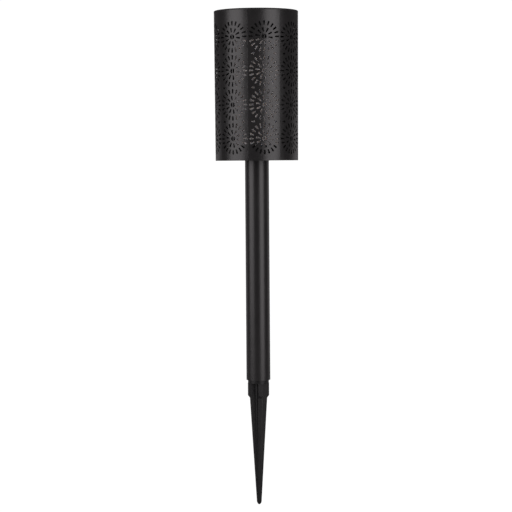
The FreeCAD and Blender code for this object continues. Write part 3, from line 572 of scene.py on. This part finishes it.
def lines_group():
    """Thin parallel lines at an even pitch, as one mask across X and one across Y."""
    given_names = {"Pitch": 0.01, "Width": 0.0002, "Start": 0.0}
    group, given, result = new_group("fine lines", given_names, ("Across X", "Across Y"))
    place = add_node(group, "ShaderNodeSeparateXYZ", {0: object_place(group)})
    half_pitch = math_node(group, "MULTIPLY", given["Pitch"], 0.5)
    half_width = math_node(group, "MULTIPLY", given["Width"], 0.5)
    for axis in ("X", "Y"):
        moved = add_node(
            group, "ShaderNodeMath", {0: place.outputs[axis], 1: given["Start"]}, operation="SUBTRACT")
        distance = math_node(group, "PINGPONG", moved.outputs[0], half_pitch)
        group.links.new(math_node(group, "LESS_THAN", distance, half_width), result["Across " + axis])
    return group


COAT_DUST = (0.22, 0.21, 0.19)
PLASTIC_DUST = (0.24, 0.225, 0.2)
RESIN_DUST = (0.7, 0.68, 0.63)
# Near black painted shade for the cut walls and the inside of the sheet
CUT_PAINTED_SHADE = (0.004, 0.004, 0.004)
GROUPS = {
    "grain": grain_group,
    "patches": patches_group,
    "wear_and_highlight": wear_and_highlight_group,
    "dust": dust_group,
    "lines": lines_group,
}
built_groups = {}


def effect(tree, name, **inputs):
    """Places one of the shared effects in a material and returns its outputs."""
    if name not in built_groups:
        built_groups[name] = GROUPS[name]()
    node = tree.nodes.new("ShaderNodeGroup")
    node.node_tree = built_groups[name]
    for title, value in inputs.items():
        node.inputs[title.replace("_", " ")].default_value = value
    return node.outputs


def new_finish(name, **sockets):
    """A material with a Principled shader whose constant sockets are set by name."""
    material = bpy.data.materials.new(name)
    material.use_nodes = True
    shader = material.node_tree.nodes["Principled BSDF"]
    for title, value in sockets.items():
        shader.inputs[title.replace("_", " ")].default_value = value
    return material, material.node_tree, shader


def bump(tree, shader, height, distance, strength=1.0):
    """Feeds a height to the shader's normal."""
    node = add_node(tree, "ShaderNodeBump", {"Height": height, "Distance": distance, "Strength": strength})
    tree.links.new(node.outputs["Normal"], shader.inputs["Normal"])


def lighter(colour, share):
    """A colour moved a share of the way towards mid grey."""
    return tuple(part + (0.5 - part) * share for part in colour)


def powder_coat(name, colour):
    """Satin powder coat: a faint orange peel, slightly uneven gloss, thin dust, and rubbed edges lightened as
    wear and as a painted edge highlight.

    Where the sheet is cut, and behind it, the coat is painted near black as shade, and is rough and dull.
    """
    material, tree, shader = new_finish(name, IOR=1.5)
    cut = add_node(tree, "ShaderNodeAttribute", attribute_name="cut").outputs["Fac"]
    grain = effect(tree, "grain", Lumps_per_metre=1500.0)
    patches = effect(tree, "patches", Patches_per_metre=30.0)["Mask"]
    wear_and_highlight = effect(tree, "wear_and_highlight", Radius=0.0004, Amount=0.5)["Mask"]
    dust = effect(tree, "dust", Amount=0.12)["Mask"]
    base = blend_colours(tree, patches, colour, lighter(colour, 0.006))
    # The rubbed edges are lightened partly as wear and partly as a painted edge highlight.
    base = blend_colours(tree, wear_and_highlight, base, lighter(colour, 0.12))
    base = blend_colours(tree, dust, base, COAT_DUST)
    # Painted shade: the cut walls and the inside of the sheet take a near black colour where shade falls.
    tree.links.new(blend_colours(tree, cut, base, CUT_PAINTED_SHADE), shader.inputs["Base Color"])
    gloss = remap(tree, multiply_add(tree, patches, 0.5, grain["Mask"]), 0.0, 1.5, 0.27, 0.35)
    tree.links.new(remap(tree, cut, 0.0, 1.0, gloss, 0.75), shader.inputs["Roughness"])
    tree.links.new(remap(tree, cut, 0.0, 1.0, 0.5, 0.03), shader.inputs["Specular IOR Level"])
    bump(tree, shader, grain["Height"], 0.00002)
    return material


def moulded_plastic(name, colour, gloss, lumps, depth):
    """Matt moulded plastic: a fine spark-eroded grain, edges lightened as scuffs and as a painted edge
    highlight, and a little dust.
    """
    material, tree, shader = new_finish(name, IOR=1.42)
    grain = effect(tree, "grain", Lumps_per_metre=lumps)
    patches = effect(tree, "patches", Patches_per_metre=45.0)["Mask"]
    wear_and_highlight = effect(tree, "wear_and_highlight", Radius=0.0005, Amount=0.8)["Mask"]
    dust = effect(tree, "dust", Amount=0.2)["Mask"]
    base = blend_colours(tree, patches, colour, lighter(colour, 0.01))
    # The scuffed edges are lightened partly as wear and partly as a painted edge highlight.
    base = blend_colours(tree, wear_and_highlight, base, lighter(colour, 0.1))
    base = blend_colours(tree, dust, base, PLASTIC_DUST)
    tree.links.new(base, shader.inputs["Base Color"])
    uneven = multiply_add(tree, patches, 0.6, grain["Mask"])
    tree.links.new(remap(tree, uneven, 0.0, 1.6, gloss, gloss + 0.14), shader.inputs["Roughness"])
    bump(tree, shader, grain["Height"], depth)
    return material


def frosted_plastic(colour):
    """Frosted light tube: milky, softly mottled, with a fine etched grain."""
    material, tree, shader = new_finish(
        "frosted plastic", IOR=1.49, Subsurface_Weight=0.35, Subsurface_Scale=0.004)
    shader.inputs["Subsurface Radius"].default_value = (1.0, 0.9, 0.8)
    grain = effect(tree, "grain", Lumps_per_metre=3500.0)
    patches = effect(tree, "patches", Patches_per_metre=35.0)["Mask"]
    warm = tuple(part * share for part, share in zip(colour, (0.97, 0.94, 0.9)))
    tree.links.new(blend_colours(tree, patches, colour, warm), shader.inputs["Base Color"])
    tree.links.new(remap(tree, grain["Mask"], 0.0, 1.0, 0.5, 0.65), shader.inputs["Roughness"])
    bump(tree, shader, grain["Height"], 0.00003)
    return material


def plain_finish(name, colour, gloss, lumps=2500.0, depth=0.00002, metallic=0.0, variation=0.08, **sockets):
    """A small part's finish: one colour with soft variation, uneven gloss and a light grain."""
    material, tree, shader = new_finish(name, Metallic=metallic, **sockets)
    grain = effect(tree, "grain", Lumps_per_metre=lumps)
    patches = effect(tree, "patches", Patches_per_metre=120.0)["Mask"]
    darker = tuple(part * (1 - 2 * variation) for part in colour)
    tree.links.new(blend_colours(tree, patches, darker, colour), shader.inputs["Base Color"])
    tree.links.new(remap(tree, grain["Mask"], 0.0, 1.0, gloss, gloss + 0.12), shader.inputs["Roughness"])
    bump(tree, shader, grain["Height"], depth)
    return material


def silicon_finish(pitch):
    """Blue-black crystalline silicon with fine silver fingers and a wider bar down each wafer."""
    material, tree, shader = new_finish("silicon", IOR=1.6, Coat_Weight=0.3)
    crystals = add_node(tree, "ShaderNodeTexVoronoi", {"Vector": object_place(tree), "Scale": 240.0})
    patches = effect(tree, "patches", Patches_per_metre=60.0)["Mask"]
    base = blend_colours(tree, crystals.outputs["Color"], (0.010, 0.018, 0.055), (0.018, 0.042, 0.120))
    base = blend_colours(tree, patches, base, (0.012, 0.020, 0.070))
    fingers = effect(tree, "lines", Pitch=0.0022, Width=0.00014)["Across Y"]
    bars = effect(tree, "lines", Pitch=pitch, Width=0.0009, Start=pitch / 2)["Across X"]
    silver = math_node(tree, "MAXIMUM", fingers, bars)
    tree.links.new(blend_colours(tree, silver, base, (0.62, 0.63, 0.64)), shader.inputs["Base Color"])
    tree.links.new(math_node(tree, "MULTIPLY", silver, 0.8), shader.inputs["Metallic"])
    grain = effect(tree, "grain", Lumps_per_metre=3000.0)
    tree.links.new(remap(tree, grain["Mask"], 0.0, 1.0, 0.22, 0.34), shader.inputs["Roughness"])
    bump(tree, shader, silver, 0.00001)
    return material


def cast_resin():
    """Clear cast resin with a slow ripple, fine scuffs and a little dust."""
    material, tree, shader = new_finish("clear resin", IOR=1.5, Transmission_Weight=1.0)
    grain = effect(tree, "grain", Lumps_per_metre=900.0)
    patches = effect(tree, "patches", Patches_per_metre=50.0)["Mask"]
    dust = effect(tree, "dust", Amount=0.1)["Mask"]
    base = blend_colours(tree, patches, (0.97, 0.98, 0.98), (0.92, 0.94, 0.93))
    tree.links.new(blend_colours(tree, dust, base, RESIN_DUST), shader.inputs["Base Color"])
    uneven = multiply_add(tree, dust, 2.0, grain["Mask"])
    tree.links.new(remap(tree, uneven, 0.0, 1.5, 0.03, 0.16), shader.inputs["Roughness"])
    bump(tree, shader, grain["Height"], 0.00002)
    return material


def circuit_board():
    """Green laminate with darker gaps between its copper tracks."""
    material, tree, shader = new_finish("board laminate", IOR=1.5)
    tracks = effect(tree, "lines", Pitch=0.0026, Width=0.0007)
    grain = effect(tree, "grain", Lumps_per_metre=700.0)
    either = math_node(tree, "MAXIMUM", tracks["Across X"], tracks["Across Y"])
    seen = math_node(tree, "MULTIPLY", either, grain["Mask"])
    base = blend_colours(tree, seen, (0.015, 0.12, 0.05), (0.05, 0.24, 0.09))
    tree.links.new(base, shader.inputs["Base Color"])
    tree.links.new(remap(tree, grain["Mask"], 0.0, 1.0, 0.2, 0.38), shader.inputs["Roughness"])
    bump(tree, shader, seen, 0.00003)
    return material


def plated_steel():
    """Bright zinc plate: fine drawn lines, cloudy gloss and dulled edges."""
    material, tree, shader = new_finish("zinc steel", Metallic=1.0)
    place = object_place(tree)
    drawn = noise(tree, place, 900.0, detail=3.0, stretch=(1.0, 1.0, 0.06))
    patches = effect(tree, "patches", Patches_per_metre=160.0)["Mask"]
    wear_and_highlight = effect(tree, "wear_and_highlight", Radius=0.0002, Amount=0.6)["Mask"]
    base = blend_colours(tree, patches, (0.47, 0.48, 0.47), (0.60, 0.60, 0.57))
    tree.links.new(blend_colours(tree, wear_and_highlight, base, (0.36, 0.35, 0.33)), shader.inputs["Base Color"])
    tree.links.new(remap(tree, drawn, 0.3, 0.7, 0.2, 0.4), shader.inputs["Roughness"])
    bump(tree, shader, drawn, 0.00001)
    return material


# Operators

class TORCH_OT_pierced_sheet(bpy.types.Operator):
    """Rolls the steel sheet with its rosettes, teardrops, faint creases and seam."""

    bl_idname = "torch.pierced_sheet"
    bl_label = "Pierced sheet"

    def execute(self, context):
        coat = powder_coat("shade coat", context.scene.torch_finish.coat)
        points, faces, cut = pierced_sheet(context.scene.torch_shade)
        sheet = add_piece("pierced_sheet", points, faces, cut, "shade", coat)
        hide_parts("pierced_shade")
        return {"FINISHED"}


class TORCH_OT_pole(bpy.types.Operator):
    """Coats the pole."""

    bl_idname = "torch.pole"
    bl_label = "Pole"

    def execute(self, context):
        dress(powder_coat("pole coat", context.scene.torch_finish.coat), "pole_tube")
        return {"FINISHED"}


class TORCH_OT_mouldings(bpy.types.Operator):
    """Gives the spike, the cap and the battery case their plastics."""

    bl_idname = "torch.mouldings"
    bl_label = "Mouldings"

    def execute(self, context):
        colour = context.scene.torch_finish.plastic
        darker = tuple(part * 0.6 for part in colour)
        dress(moulded_plastic("spike plastic", darker, 0.36, 1800.0, 0.00003), "ground_spike")
        cap = moulded_plastic("cap plastic", colour, 0.45, 2600.0, 0.00004)
        # Painted shade: the tube struts are dark plates set inside the shade, so that the holes beside the
        # light tube show shade.
        dress(
            cap, "solar_cap", "housing_cover", "tube_struts", "battery_case", "case_floor", "battery_door",
            "base_plate")
        return {"FINISHED"}


class TORCH_OT_light_tube(bpy.types.Operator):
    """Frosts the light tube and finishes the flame light inside it."""

    bl_idname = "torch.light_tube"
    bl_label = "Light tube"

    def execute(self, context):
        dress(frosted_plastic(tuple(context.scene.torch_finish.tube)), "diffuser_tube")
        dress(plain_finish("white plastic", (0.8, 0.8, 0.77), 0.4), "led_former")
        dress(plain_finish("strip film", (0.75, 0.76, 0.73), 0.25), "led_strip")
        dress(plain_finish("led lens", (0.9, 0.78, 0.35), 0.15), "flame_leds")
        return {"FINISHED"}


class TORCH_OT_fittings(bpy.types.Operator):
    """Finishes screws, brackets, seat, boards, leads, cell, contacts and switch."""

    bl_idname = "torch.fittings"
    bl_label = "Fittings"

    def execute(self, context):
        dress(
            plated_steel(), "shade_brackets", "base_screws", "cover_screws", "board_screws", "floor_screws",
            "door_screw")
        dress(plain_finish("seal rubber", (0.02, 0.02, 0.02), 0.7), "rubber_seat")
        dress(plain_finish("panel laminate", (0.02, 0.03, 0.05), 0.3), "panel_board")
        dress(circuit_board(), "control_board")
        dress(plain_finish("chip plastic", (0.02, 0.02, 0.02), 0.5), "board_parts")
        dress(plain_finish("wire insulation", (0.45, 0.03, 0.03), 0.45), "battery_leads", "panel_leads")
        dress(plain_finish("battery sleeve", (0.08, 0.3, 0.15), 0.25), "battery_cell")
        dress(plain_finish("contact brass", (0.75, 0.66, 0.42), 0.3, metallic=1.0), "battery_contacts")
        dress(plain_finish("switch plastic", (0.03, 0.03, 0.03), 0.4), "switch_body", "switch_knob")
        low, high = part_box("solar_wafers")
        dress(silicon_finish((high.x - low.x) / 4), "solar_wafers")
        dress(cast_resin(), "panel_resin")
        return {"FINISHED"}


class TORCH_OT_stage(bpy.types.Operator):
    """Sets up the floor, the backdrop, the soft boxes and the camera."""

    bl_idname = "torch.stage"
    bl_label = "Stage"

    def execute(self, context):
        set_stage(context.scene.torch_stage)
        return {"FINISHED"}


# Stage

LIGHT_COLOUR = (1.0, 0.955, 0.975)
PAPER_GLOW = 1.05
PAPER_ALBEDO = 0.5
WORLD_GLOW = 0.09
FLOOR_RADIUS = 4.0
FLOOR_SIDES = 96
# name, angle round the axis from the camera in degrees, distance, lower edge, upper edge, width, strength
UPRIGHT_BOXES = (
    ("left box", -58, 1.8, 0.12, 1.6, 1.5, 2.35),
    ("right box", 43, 1.4, 0.0, 1.5, 1.0, 2.4),
    ("back panel", 180, 2.2, 0.0, 2.0, 1.4, 1.0),
    ("left fill", -134, 1.8, 0.0, 0.55, 1.1, 0.4),
    ("right fill", 130, 1.8, 0.0, 0.55, 1.2, 0.5),
)
TOP_BOX_SIDE = 1.4
TOP_BOX_HEIGHT = 2.2
TOP_BOX_BACK = 0.5
TOP_BOX_STRENGTH = 1.0


def facing_matrix(place, target, roll=0.0):
    """A placement at a point, looking at another point along local -Z."""
    turn = (Vector(target) - Vector(place)).to_track_quat("-Z", "Y").to_matrix().to_4x4()
    return Matrix.Translation(place) @ turn @ Matrix.Rotation(roll, 4, "Z")


def around(stage, angle, distance, height):
    """A point at an angle round the axis, measured from the camera towards the right of the picture."""
    whole = -math.pi / 2 - stage.camera_turn + angle
    return Vector((distance * math.cos(whole), distance * math.sin(whole), height))


def area_light(name, width, height, strength, place, target):
    """A soft rectangle of light at a point, facing another point."""
    light = bpy.data.lights.new(name, "AREA")
    light.shape = "RECTANGLE"
    light.size = width
    light.size_y = height
    light.energy = strength * width * height * math.pi
    light.color = LIGHT_COLOUR
    box = bpy.data.objects.new(name, light)
    box.matrix_world = facing_matrix(place, target)
    bpy.context.scene.collection.objects.link(box)


def soft_box(stage, name, angle, distance, low, high, width, strength):
    """An upright soft box that faces the axis."""
    middle = (low + high) / 2
    place = around(stage, angle, distance, middle)
    area_light(name, width, high - low, strength, place, (0.0, 0.0, middle))


def white_ground(name, glow, albedo):
    """Paper white to the camera; everything else sees plain pale paper."""
    material, tree, shader = new_finish(name, Roughness=0.9)
    cloud = noise(tree, object_place(tree), 3.0)
    tree.links.new(remap(tree, cloud, 0.3, 0.7, albedo * 0.98, albedo), shader.inputs["Base Color"])
    seen = add_node(tree, "ShaderNodeLightPath").outputs["Is Camera Ray"]
    paper = add_node(tree, "ShaderNodeEmission", {"Color": (1, 1, 1, 1), "Strength": glow})
    mix = add_node(tree, "ShaderNodeMixShader", {0: seen, 1: shader.outputs[0], 2: paper.outputs[0]})
    tree.links.new(mix.outputs[0], tree.nodes["Material Output"].inputs["Surface"])
    return material


def set_stage(stage):
    """Floor, backdrop, lights, camera and colour management."""
    scene = bpy.context.scene
    scene.view_settings.view_transform = "Standard"
    steps = np.linspace(0.0, 2 * math.pi, FLOOR_SIDES + 1)[:-1]
    rim = np.stack([np.cos(steps), np.sin(steps), np.zeros(FLOOR_SIDES)], axis=-1) * FLOOR_RADIUS
    mesh = bpy.data.meshes.new("floor")
    mesh.from_pydata(rim.tolist(), [], [list(range(FLOOR_SIDES))])
    mesh.materials.append(white_ground("floor paper", PAPER_GLOW, PAPER_ALBEDO))
    floor = bpy.data.objects.new("floor", mesh)
    scene.collection.objects.link(floor)

    world = bpy.data.worlds.new("studio")
    world.use_nodes = True
    tree = world.node_tree
    tree.nodes["Background"].inputs["Color"].default_value = (*LIGHT_COLOUR, 1.0)
    tree.nodes["Background"].inputs["Strength"].default_value = WORLD_GLOW
    white = add_node(tree, "ShaderNodeBackground", {"Color": (1, 1, 1, 1), "Strength": PAPER_GLOW})
    seen = add_node(tree, "ShaderNodeLightPath").outputs["Is Camera Ray"]
    mix = add_node(tree, "ShaderNodeMixShader", {
        0: seen, 1: tree.nodes["Background"].outputs[0], 2: white.outputs[0]})
    tree.links.new(mix.outputs[0], tree.nodes["World Output"].inputs["Surface"])
    scene.world = world

    for name, angle, *values in UPRIGHT_BOXES:
        soft_box(stage, name, math.radians(angle), *values)
    overhead = around(stage, math.pi, TOP_BOX_BACK, TOP_BOX_HEIGHT)
    area_light("top box", TOP_BOX_SIDE, TOP_BOX_SIDE, TOP_BOX_STRENGTH, overhead, (0.0, 0.0, SHADE_TOP))

    camera = bpy.data.cameras.new("camera")
    distance = math.hypot(stage.camera_distance, stage.camera_height - stage.aim_height)
    camera.lens = camera.sensor_width * distance / stage.view_width
    camera.clip_end = 100.0
    place = around(stage, 0.0, stage.camera_distance, stage.camera_height)
    right = around(stage, math.pi / 2, 1.0, 0.0)
    target = Vector((0.0, 0.0, stage.aim_height)) - right * stage.aim_side
    seat = bpy.data.objects.new("camera", camera)
    seat.matrix_world = facing_matrix(place, target, stage.roll)
    scene.collection.objects.link(seat)
    scene.camera = seat


class TORCH_PT_panel(bpy.types.Panel):
    """Lists the torch's pieces in the sidebar."""

    bl_idname = "TORCH_PT_panel"
    bl_label = "Solar garden torch"
    bl_space_type = "VIEW_3D"
    bl_region_type = "UI"
    bl_category = "Torch"

    def draw(self, context):
        for operator in OPERATORS:
            self.layout.operator(operator.bl_idname)


SETTINGS = {"torch_shade": ShadeSettings, "torch_finish": FinishSettings, "torch_stage": StageSettings}
OPERATORS = (
    TORCH_OT_pierced_sheet, TORCH_OT_pole, TORCH_OT_mouldings, TORCH_OT_light_tube, TORCH_OT_fittings,
    TORCH_OT_stage)


def register():
    """Makes the settings, the operators and the panel known to Blender."""
    for cls in (*SETTINGS.values(), *OPERATORS, TORCH_PT_panel):
        bpy.utils.register_class(cls)
    for name, cls in SETTINGS.items():
        setattr(bpy.types.Scene, name, PointerProperty(type=cls))


def unregister():
    """Takes them all away again."""
    for name in SETTINGS:
        delattr(bpy.types.Scene, name)
    for cls in (TORCH_PT_panel, *reversed(OPERATORS), *SETTINGS.values()):
        bpy.utils.unregister_class(cls)


def main():
    """Builds every piece in order."""
    register()
    for operator in OPERATORS:
        group, name = operator.bl_idname.split(".")
        getattr(getattr(bpy.ops, group), name)()


if __name__ == "__main__":
    main()
